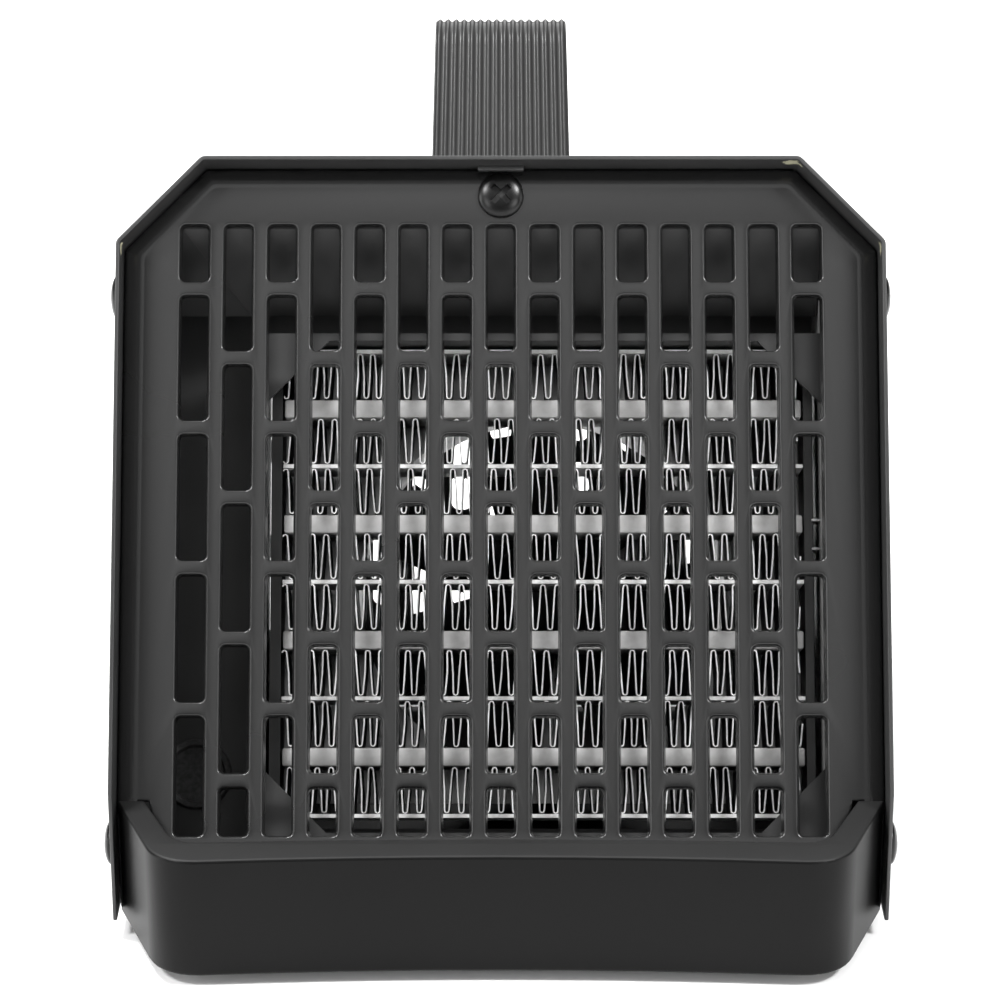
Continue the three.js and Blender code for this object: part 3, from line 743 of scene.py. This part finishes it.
def make_grille(mats):
    border = panel_border(PANEL_INSET, PANEL_FOOT)
    loops = [rounded(border, [1.5, 0, 0.4, 2, 2, 2, 2, 0.4, 0, 1.5], 4)]
    collars = []
    for column in range(SLOT_COLUMNS):
        x = (column - (SLOT_COLUMNS - 1) / 2) * SLOT_PITCH
        for low, high in slot_spans(column):
            loops.append(slot_loop(x, low, high, SLOT_WIDTH, SLOT_CORNER))
            collars.append(slot_collar(x, low, high, mats))
    middle = (GRILLE_FRONT + GRILLE_BACK) / 2
    plate = outline_solid("grille_panel", loops, GRILLE_BACK - GRILLE_FRONT, LIP, facing_front(middle),
                          mats["grille_plastic"], 3)
    parts = [plate, rolled_rim(mats)] + collars
    for side in (-1, 1):
        parts.append(side_plate(side, FLANGE_XS, (GRILLE_BACK + 1, 17), (40, 131), TILT,
                                mats["grille_plastic"], 0.4))
    return finish_piece(join("grille_panel", parts), "root", "black_plastic", "front_grille")


# Base
def chin_curve(rear_half, corner_half, corner_y, mid_y, radius):
    """Front of the base in plan, left to right: sloped cheeks, rounded corners, hollow face."""
    rear = Vector((rear_half, CHEEK_REAR))
    corner = Vector((corner_half, corner_y))
    cheek = corner + (rear - corner).normalized() * radius
    face = Vector((corner_half - radius, corner_y))
    middle = Vector((0, 2 * mid_y - corner_y))
    points = []

    def flip(p):
        return Vector((-p.x, p.y))

    def bow(a, b, c, steps=8):
        for k in range(steps + 1):
            t = k / steps
            points.append(a * (1 - t) ** 2 + b * 2 * t * (1 - t) + c * t * t)

    points.append(flip(rear))
    bow(flip(cheek), flip(corner), flip(face))
    bow(flip(face), middle, face)
    bow(face, corner, cheek)
    points.append(rear)
    return clean_loop(points)


def clean_loop(points):
    """The points without the ones that repeat their neighbour."""
    kept = []
    for p in points:
        if not kept or (p - kept[-1]).length > 1e-3:
            kept.append(p)
    return kept


def make_base(mats):
    outer = chin_curve(**CHIN_OUTSIDE)
    ring = outer + chin_curve(**CHIN_INSIDE)[::-1]
    height = LEDGE_Z - BASE_BOTTOM
    chin = outline_solid("base", [ring], height, 0.9, from_above(BASE_BOTTOM + height / 2),
                         mats["base_plastic"], 3)
    floor_loop = outer + [Vector((BASE_HALF, BASE_REAR)), Vector((-BASE_HALF, BASE_REAR))]
    inset = [Vector((p.x * 0.995, p.y + 0.3)) for p in floor_loop]
    floor = outline_solid("floor", [inset], FLOOR_TOP - BASE_BOTTOM, 0.5,
                          from_above((FLOOR_TOP + BASE_BOTTOM) / 2), mats["base_plastic"], 2)
    parts = [chin, floor]
    for side in (-1, 1):
        parts.append(side_plate(side, (BASE_HALF - BASE_WALL, BASE_HALF), (5.8, 112), (FLOOR_TOP - 1, 30),
                                UPRIGHT, mats["base_plastic"], 0.5))
    base = join("base_moulding", parts)
    # Painted light: the up-facing faces of the ledge top take the lighter copy of the base plastic.
    base.data.materials.append(mats["ledge_top_painted_light"])
    for poly in base.data.polygons:
        if poly.normal.z > 0.8 and poly.center.z > (LEDGE_Z - 2) * MM:
            poly.material_index = 1
    return finish_piece(base, "root", "black_plastic", "base_tray")


# Heating core
def fin_path(rng, low, high):
    """Centre line of one corrugated strip: straight legs joined by tight round tips."""
    points = []
    x = CORE_LEFT + 0.6
    up = rng.random() > 0.5
    while x < CORE_RIGHT - 1.2:
        pitch = FIN_PITCH / 2 * rng.uniform(0.88, 1.12)
        level, inward = (high, -1) if up else (low, 1)
        level += inward * rng.uniform(0.0, 0.18)
        for k in range(5):
            a = math.pi * k / 4
            points.append((x - FIN_TIP * math.cos(a), level + inward * (FIN_TIP - FIN_TIP * math.sin(a))))
        bow = rng.uniform(-0.16, 0.16)
        middle = (low + high) / 2
        points.append((x + FIN_TIP + pitch * 0.22 + bow, middle))
        x += pitch
        up = not up
    return points


def offset_path(points, distance):
    result = []
    for i, p in enumerate(points):
        before = Vector(points[max(i - 1, 0)])
        after = Vector(points[min(i + 1, len(points) - 1)])
        along = (after - before).normalized()
        result.append((p[0] - along.y * distance, p[1] + along.x * distance))
    return result


def foil_strip(name, path, front, back, mats):
    left = offset_path(path, FOIL / 2)
    right = offset_path(path, -FOIL / 2)
    count = len(path)
    verts = []
    for b in (front, back):
        verts += [(x, b, v) for x, v in left]
        verts += [(x, b, v) for x, v in right]
    faces = []
    # Kind 0, the narrow front and back edges, takes the bright foil with its painted highlight; kind 1, the
    # broad sides and the ends, takes the dark copy as painted shade.
    kinds = []
    for i in range(count - 1):
        faces.append((i, i + 1, count + i + 1, count + i))
        kinds.append(0)
        faces.append((2 * count + i, 3 * count + i, 3 * count + i + 1, 2 * count + i + 1))
        kinds.append(0)
        faces.append((i, 2 * count + i, 2 * count + i + 1, i + 1))
        kinds.append(1)
        faces.append((count + i, count + i + 1, 3 * count + i + 1, 3 * count + i))
        kinds.append(1)
    for i in (0, count - 1):
        faces.append((i, count + i, 3 * count + i, 2 * count + i))
        kinds.append(1)
    return mesh_object(name, verts, faces, TILT, [mats["aluminium_fin"], mats["foil_side_painted_shade"]], kinds)


def make_core(mats):
    rng = random.Random(7)
    for unit in range(CORE_UNITS):
        n = CORE_UNITS - unit
        low = CORE_BOTTOM + unit * CORE_UNIT + PLATE / 2
        high = low + CORE_UNIT - PLATE
        bar_low = (low + high - BAR_HEIGHT) / 2
        bar_high = bar_low + BAR_HEIGHT
        for index, a, b in ((2 * n, low, bar_low), (2 * n - 1, bar_high, high)):
            path = fin_path(rng, a + FOIL / 2 + 0.02, b - FOIL / 2 - 0.02)
            strip = foil_strip(f"corrugated_fin_{index}", path, CORE_FRONT + 0.1, CORE_BACK - 0.2, mats)
            finish_piece(strip, "root", "aluminium_fin", f"fin_strip_{index}")
        lo = (CORE_LEFT + 0.2, CORE_FRONT + 0.05, bar_low + 0.05)
        hi = (CORE_RIGHT - 0.2, CORE_BACK - 0.6, bar_high - 0.05)
        bar = boxed(f"heating_bar_{n}", lo, hi, TILT, mats["ceramic_bar_casing"], 0.6)
        finish_piece(bar, "root", "ceramic_bar_casing", f"ptc_bar_{n}")


# Screws
def cross_cutters(depth, reach, width, place):
    """The two crossed bars that cut a screw's recess."""
    cutters = []
    for turn in (0, math.pi / 2):
        lo = (-reach, -width / 2, -depth)
        hi = (reach, width / 2, depth * 3)
        spin = place @ Matrix.Rotation(math.pi / 4 + turn, 4, "Z")
        cutters.append(boxed("cross", lo, hi, spin, bpy.data.materials["black_screw"], 0))
    return cutters


def screw(name, head, place, mats, node):
    """Domed head with a crossed recess; local +Z points out of it."""
    radius, dome = head
    arc = [(radius * math.sin(a), 0.5 + (dome - 0.5) * math.cos(a))
           for a in [math.pi / 2 * k / 9 for k in range(9, -1, -1)]]
    profile = [(0, 0.05), (radius * 0.93, 0.05), (radius, 0.18)] + arc
    obj = turned(name, profile, place, mats["black_screw"], 40)
    top = place @ Matrix.Translation((0, 0, dome))
    boolean_cut(obj, cross_cutters(dome - 0.5, radius * 0.5, radius * 0.27, top))
    bevel(obj, 0.12, 2, 40)
    smooth(obj, 30)
    # Painted shade in the cross recess.
    paint_recess_shade(obj, place.inverted(), radius * 0.5, dome * 0.8, mats)
    return finish_piece(obj, "root", "black_screw", node)


# Painted shade: faces inside the cross recess take the dark copy of the coat.
def paint_recess_shade(obj, into_head, reach, top, mats):
    obj.data.materials.append(mats["painted_shade_black"])
    for poly in obj.data.polygons:
        at = into_head @ poly.center
        if math.hypot(at.x, at.y) < reach and 0.3 < at.z < top:
            poly.material_index = 1


def make_screws(mats):
    screw("panel_screw", PANEL_HEAD, out_of_front(0, GRILLE_FRONT, PANEL_SCREW_V), mats, "front_screw")
    for side, s in (("left", -1), ("right", 1)):
        turn = Matrix.Rotation(s * math.pi / 2, 4, "Y")
        for level, node, coordinates, depth, height in WALL_SCREWS:
            place = coordinates @ Matrix.Translation((s * WIDTH / 2, depth, height)) @ turn
            screw(f"wall_screw_{level}_{side}", WALL_HEAD, place, mats, f"{node}_{side}")
    for end, b in (("front", HANDLE_FRONT + STRAP_SCREW_IN), ("rear", HANDLE_REAR - STRAP_SCREW_IN)):
        place = TILT @ Matrix.Translation((0, b, SLEEVE_TOP + 2.9))
        screw(f"strap_screw_{end}", STRAP_HEAD, place, mats, f"handle_screw_{end}")


# Handle
def strap_path(inset):
    """One face of the strap seen from the side, as (depth, height), an inset in from its outside."""
    radius = STRAP_BEND - inset * 0.8
    top = HANDLE_HEIGHT - inset
    low = top - radius
    front = HANDLE_FRONT + inset
    rear = HANDLE_REAR - inset
    slope = STRAP_LEAN / HANDLE_HEIGHT
    points = []

    def bow(a, b, c, steps=10):
        for k in range(steps + 1):
            t = k / steps
            points.append(Vector(a) * (1 - t) ** 2 + Vector(b) * 2 * t * (1 - t) + Vector(c) * t * t)

    points.append(Vector((front, STRAP_FOOT)))
    bow((front + low * slope, low), (front + top * slope, top), (front + top * slope + radius, top))
    bow((rear - top * slope - radius, top), (rear - top * slope, top), (rear - low * slope, low))
    points.append(Vector((rear, STRAP_FOOT)))
    return points


def strap_section():
    """Across the strap, as (share of the half width, depth): ribs outside, plain inside."""
    steps = 10
    ribs = []
    for i in range(RIBS):
        for k in range(steps):
            t = k / steps
            crest = max(0.0, math.cos(math.pi * (t - 0.5) / 0.7))
            ribs.append((2 * (i + t) / RIBS - 1, RIB_DEPTH * (1 - crest)))
    ribs.append((1, RIB_DEPTH))
    under = [(1, STRAP - 0.5), (0.97, STRAP), (-0.97, STRAP), (-1, STRAP - 0.5)]
    return ribs + under


def make_handle(mats):
    outer = strap_path(0)
    inner = strap_path(STRAP)
    section = strap_section()
    verts = []
    for a, b in zip(outer, inner):
        for share, depth in section:
            p = a.lerp(b, depth / STRAP)
            half = HANDLE_FOOT_HALF + (HANDLE_TOP_HALF - HANDLE_FOOT_HALF) * p.y / HANDLE_HEIGHT
            verts.append((share * half, p.x, SLEEVE_TOP + STRAP_FOOT + p.y))
    faces = ring_faces(len(outer), len(section)) + end_caps(len(outer), len(section))
    strap = smooth(mesh_object("strap_handle", verts, faces, TILT, [mats["handle_plastic"]]), 50)
    parts = [strap]
    near, far = PAD_ENDS
    for b0, b1 in ((HANDLE_FRONT + near, HANDLE_FRONT + far), (HANDLE_REAR - far, HANDLE_REAR - near)):
        lo = (-HANDLE_FOOT_HALF + 0.3, b0, SLEEVE_TOP + 0.32)
        hi = (HANDLE_FOOT_HALF - 0.3, b1, SLEEVE_TOP + 2.85)
        parts.append(boxed("pad", lo, hi, TILT, mats["handle_plastic"], 0.5))
    return finish_piece(join("strap_handle", parts), "root", "handle_plastic", "carry_handle")


# Controls
def make_knob(name, s, body, mats):
    place = TILT @ Matrix.Translation((s * KNOB_X, KNOB_B, SLEEVE_TOP))
    segments = FLUTES * 6
    # Radius, height and share of the full flute depth.
    levels = [(KNOB_RADIUS - 0.2, 0.45, 0), (KNOB_RADIUS - 0.2, 1.6, 0), (KNOB_RADIUS - 0.9, 2.0, 1),
              (KNOB_RADIUS - 1.4, 10.2, 1), (KNOB_RADIUS - 2.0, 11.4, 0.5), (KNOB_RADIUS - 3.2, 11.9, 0),
              (KNOB_RADIUS - 5.5, 11.9, 0), (KNOB_RADIUS - 6.4, 11.3, 0)]
    verts = []
    for r, h, depth in levels:
        for k in range(segments):
            a = 2 * math.pi * k / segments
            reach = r - 0.35 * depth * (1 + math.cos(FLUTES * a))
            verts.append((reach * math.cos(a), reach * math.sin(a), h))
    faces = ring_faces(len(levels), segments) + end_caps(len(levels), segments)
    grip = smooth(mesh_object(name, verts, faces, place, [mats["black_plastic"]]), 35)
    profile = [(0, -11), (2.7, -11), (2.7, 0.5), (0, 0.5)]
    spindle = turned("spindle", profile, place, mats["black_plastic"], 20)
    finish_piece(join(name, [grip, spindle]), body, "black_plastic", body)
    mark = boxed(name + "_pointer", (-0.7, 3.5, 11.2), (0.7, 15.2, 11.98), place, mats["knob_mark"], 0.2)
    finish_piece(mark, body, "black_plastic")


def make_ticks(name, s, first, last, count, mats):
    parts = []
    for k in range(count):
        a = math.radians(90 - first - (last - first) * k / (count - 1))
        place = TILT @ Matrix.Translation((s * KNOB_X, KNOB_B, SLEEVE_TOP)) @ Matrix.Rotation(a, 4, "Z")
        parts.append(boxed("tick", (18.6, -0.4, -0.02), (21.2, 0.4, 0.12), place, mats["knob_mark"], 0.03))
    return finish_piece(join(name, parts), "root", "sheet_black")


# Rear
def make_rear_cover(mats):
    border = panel_border(REAR_INSET, REAR_FOOT)
    loops = [rounded(border, [1.5, 0, 0.8, 2, 2, 2, 2, 0.8, 0, 1.5], 4)]
    for column in range(VENT_COLUMNS):
        x = (column - (VENT_COLUMNS - 1) / 2) * SLOT_PITCH
        for row in range(VENT_ROWS):
            low = VENT_BOTTOM + row * VENT_PERIOD + VENT_SHIFT * (column % 2)
            loops.append(slot_loop(x, low, low + VENT_LENGTH, VENT_WIDTH, 2.2))
    turns = [2 * math.pi * k / 28 for k in range(28)]
    loops.append([Vector((GLAND_X + GLAND_HOLE * math.cos(a), GLAND_V + GLAND_HOLE * math.sin(a)))
                  for a in turns])
    plate = outline_solid("rear_panel", loops, REAR_THICK, 0.5, facing_front(REAR_FRONT + REAR_THICK / 2),
                          mats["sheet_black"], 2)
    parts = [plate]
    for side in (-1, 1):
        parts.append(side_plate(side, FLANGE_XS, (109, REAR_FRONT + 0.6), (70, 130), TILT,
                                mats["sheet_black"], 0.4))
    return finish_piece(join("rear_panel", parts), "root", "sheet_black", "rear_cover")


def make_gland(mats):
    profile = [(3.7, -6.9), (6.0, -6.9), (6.0, 2.3), (8.6, 2.35), (8.9, 2.7), (8.9, 5.6), (8.5, 6.2)]
    for k in range(3):
        h = 6.8 + k * 1.9
        r = 7.6 - k * 0.5
        profile += [(r - 0.8, h), (r, h + 0.35), (r - 0.1, h + 1.0), (r - 0.9, h + 1.4)]
    profile += [(5.0, 12.25), (3.7, 12.25), (3.7, -6.9)]
    obj = turned("cord_gland", profile, into_heater(GLAND_X, REAR_FRONT, GLAND_V), mats["black_plastic"], 40)
    return finish_piece(obj, "root", "black_plastic", "cable_gland")


# Fan
def blade_points(side, rows, spans):
    """One face of a blade, from root to tip and across the chord, a half thickness to one side."""
    points = []
    for r in range(rows):
        t = r / (rows - 1)
        radius = BLADE_ROOT + (FAN_RADIUS - 1.6 - BLADE_ROOT) * t
        twist = math.radians(38 - 14 * t)
        chord = 17 + 5 * t
        for c in range(spans):
            u = c / (spans - 1) - 0.5
            camber = 1.6 * (1 - 4 * u * u)
            along = u * chord
            height = 8 + along * math.sin(twist) * 0.62 + camber + side * BLADE_THICK / 2
            points.append((radius, along * math.cos(twist) + 2 * t, height))
    return points


def blade_faces(rows, spans):
    """Both faces of a blade and the edge between them."""
    faces = []
    layer = rows * spans
    for r in range(rows - 1):
        for c in range(spans - 1):
            q = (r * spans + c, r * spans + c + 1, (r + 1) * spans + c + 1, (r + 1) * spans + c)
            faces.append(q)
            faces.append(tuple(layer + k for k in reversed(q)))
    border = ([c for c in range(spans)] + [r * spans + spans - 1 for r in range(1, rows)]
              + [(rows - 1) * spans + c for c in range(spans - 2, -1, -1)]
              + [r * spans for r in range(rows - 2, 0, -1)])
    for k, a in enumerate(border):
        b = border[(k + 1) % len(border)]
        faces.append((a, b, layer + b, layer + a))
    return faces


def make_fan(mats):
    place = into_heater(FAN_X, FAN_DEPTH, FAN_V)
    rows, spans = 9, 9
    verts = blade_points(-1, rows, spans) + blade_points(1, rows, spans)
    faces = blade_faces(rows, spans)
    parts = []
    for i in range(BLADES):
        spin = place @ Matrix.Rotation(2 * math.pi * i / BLADES, 4, "Z")
        parts.append(smooth(mesh_object("blade", verts, faces, spin, [mats["black_plastic"]]), 40))
    hub = [(0, 0.1), (8, 0.3), (12.2, 1.6), (13.8, 4), (14, 15.6), (2.4, 15.8), (2.4, 30.8), (0, 30.8)]
    parts.append(turned("hub", hub, place, mats["black_plastic"]))
    return finish_piece(join("axial_fan", parts), "fan", "aluminium_fin", "fan")


# Feet and small parts
def make_feet(mats):
    profile = [(0, 0.5), (5.6, 0.5), (6.0, 0), (7.6, 0), (8.3, 0.25), (8.8, 1.0), (8.95, 2.9), (0, 2.9)]
    for end in ("front", "rear"):
        for side in ("left", "right"):
            node = f"foot_{end}_{side}"
            lo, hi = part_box(node)
            middle = (lo + hi) / 2
            place = Matrix.Translation((middle.x, middle.y, 0)) @ Matrix.Scale(MM, 4)
            pad = turned(f"pad_{end}_{side}", profile, place, mats["rubber"])
            finish_piece(pad, "root", "rubber", node)


def make_grommet(mats):
    profile = [(0, -0.3), (6.7, -0.3), (6.9, -1.3), (7.3, -1.75), (8.2, -1.75), (8.65, -1.3), (8.75, -0.4),
               (6.2, -0.2), (6.2, 3.9), (0, 3.9)]
    # The grommet takes the lighter rubber copy, painted light.
    obj = turned("wiring_ring", profile, into_heater(*GROMMET_PLACE), mats["grommet_rubber_painted_light"], 40)
    return finish_piece(obj, "root", "rubber", "lead_grommet")


def make_duct(mats):
    """Skin of the duct wall at the right of the core, with the core's terminal tabs and its clip."""
    wall = boxed("duct_wall", (78.42, 11.32, -9), (80.4, 46, 125.6), TILT, mats["duct_side"], 0.3)
    finish_piece(wall, "root", "black_plastic")
    for n, v in enumerate((68.4, 61.3)):
        lo = (CORE_RIGHT + 2.0, TAB_FRONT, v - 0.3)
        hi = (78.4, 34, v + 0.3)
        tab = boxed(f"terminal_tab_{n + 1}", lo, hi, TILT, mats["galvanised_steel"], 0.1)
        finish_piece(tab, "root", "galvanised_steel")
    top = CORE_BOTTOM + CORE_UNIT * CORE_UNITS
    lo = (9.6, TAB_FRONT, top + 2.1)
    hi = (14.2, 40, top + 2.7)
    clip = boxed("core_clip", lo, hi, TILT, mats["aluminium_fin"], 0.15)
    finish_piece(clip, "root", "aluminium_fin")


def dress_cad_nodes(mats):
    """Every CAD node takes the material of its slot, but for two inner sheets: the air deflector takes a
    darker copy of the coat as painted shade, the bulkhead a lighter copy as painted light.
    """
    own = {"air_deflector": "painted_shade_black", "bulkhead": "bulkhead_painted_light"}
    slots = {row["node"]: row["material_slot"] for row in frame["record"]["subparts"]}
    for node, obj in frame["nodes"].items():
        obj.data.materials.clear()
        obj.data.materials.append(mats[own.get(node, slots[node])])


# Stage
def make_floor():
    mat, nodes, links, shader = material("pale_floor", grey(0.86), 0.7, 0, 0.2)
    vary_colour(nodes, links, shader, texture(nodes, links, 3), grey(0.85), grey(0.87))
    mesh = bpy.data.meshes.new("floor_sheet")
    corners = [(sx * FLOOR_HALF, sy * FLOOR_HALF, 0) for sx, sy in ((-1, -1), (1, -1), (1, 1), (-1, 1))]
    mesh.from_pydata(corners, [], [(0, 1, 2, 3)])
    mesh.materials.append(mat)
    floor = bpy.data.objects.new("floor_sheet", mesh)
    bpy.context.scene.collection.objects.link(floor)


def area_light(name, location, target, size, power, size_y=None):
    data = bpy.data.lights.new(name, "AREA")
    data.energy = power
    data.shape = "RECTANGLE"
    data.size = size
    data.size_y = size_y or size
    light = bpy.data.objects.new(name, data)
    light.location = location
    light.rotation_euler = (Vector(target) - Vector(location)).to_track_quat("-Z", "Y").to_euler()
    bpy.context.scene.collection.objects.link(light)
    return light


def make_lights():
    world = bpy.data.worlds.new("studio")
    world.use_nodes = True
    world.node_tree.nodes["Background"].inputs["Color"].default_value = (1, 1, 1, 1)
    world.node_tree.nodes["Background"].inputs["Strength"].default_value = AMBIENT
    bpy.context.scene.world = world
    area_light("front_high", (0, -1.0, 1.5), LIGHT_AIM, 0.8, 2.4)
    area_light("front_low", (0, -1.5, 1.2), LIGHT_AIM, 0.8, 3)
    area_light("front_left", (-1.1, -1.5, 0.6), LIGHT_AIM, 0.6, 7)
    area_light("front_right", (1.1, -1.5, 0.6), LIGHT_AIM, 0.6, 8)
    area_light("corner_key", (-0.8, 0.3, 1.9), LIGHT_AIM, 0.4, 40)
    area_light("lip_left", (-1.13, -0.73, 1.48), LIGHT_AIM, 0.3, 30)
    area_light("lip_right", (1.13, -0.73, 1.48), LIGHT_AIM, 0.3, 40)
    area_light("left_side", (-1.6, -0.35, 0.35), LIGHT_AIM, 0.7, 14, 1.0)
    area_light("right_side", (1.6, -0.35, 0.35), LIGHT_AIM, 0.7, 7, 1.0)
    area_light("ceiling", (0, 0.3, 1.8), (0, 0.2, 0), 1.6, 14)
    area_light("backdrop", (0, 1.6, 1.2), (0, 0.9, 0), 1.8, 26)


make_camera()
MATS = make_materials()
dress_cad_nodes(MATS)
make_sleeve(MATS)
make_front_tab(MATS)
make_grille(MATS)
make_base(MATS)
make_core(MATS)
make_screws(MATS)
make_handle(MATS)
make_knob("heat_knob", -1, "thermostat_knob", MATS)
make_knob("mode_knob", 1, "selector_knob", MATS)
make_ticks("heat_scale", -1, 0, 270, 10, MATS)
make_ticks("mode_scale", 1, 0, 135, 4, MATS)
make_rear_cover(MATS)
make_gland(MATS)
make_fan(MATS)
make_feet(MATS)
make_grommet(MATS)
make_duct(MATS)
make_floor()
make_lights()
bpy.context.scene.view_settings.view_transform = "Standard"
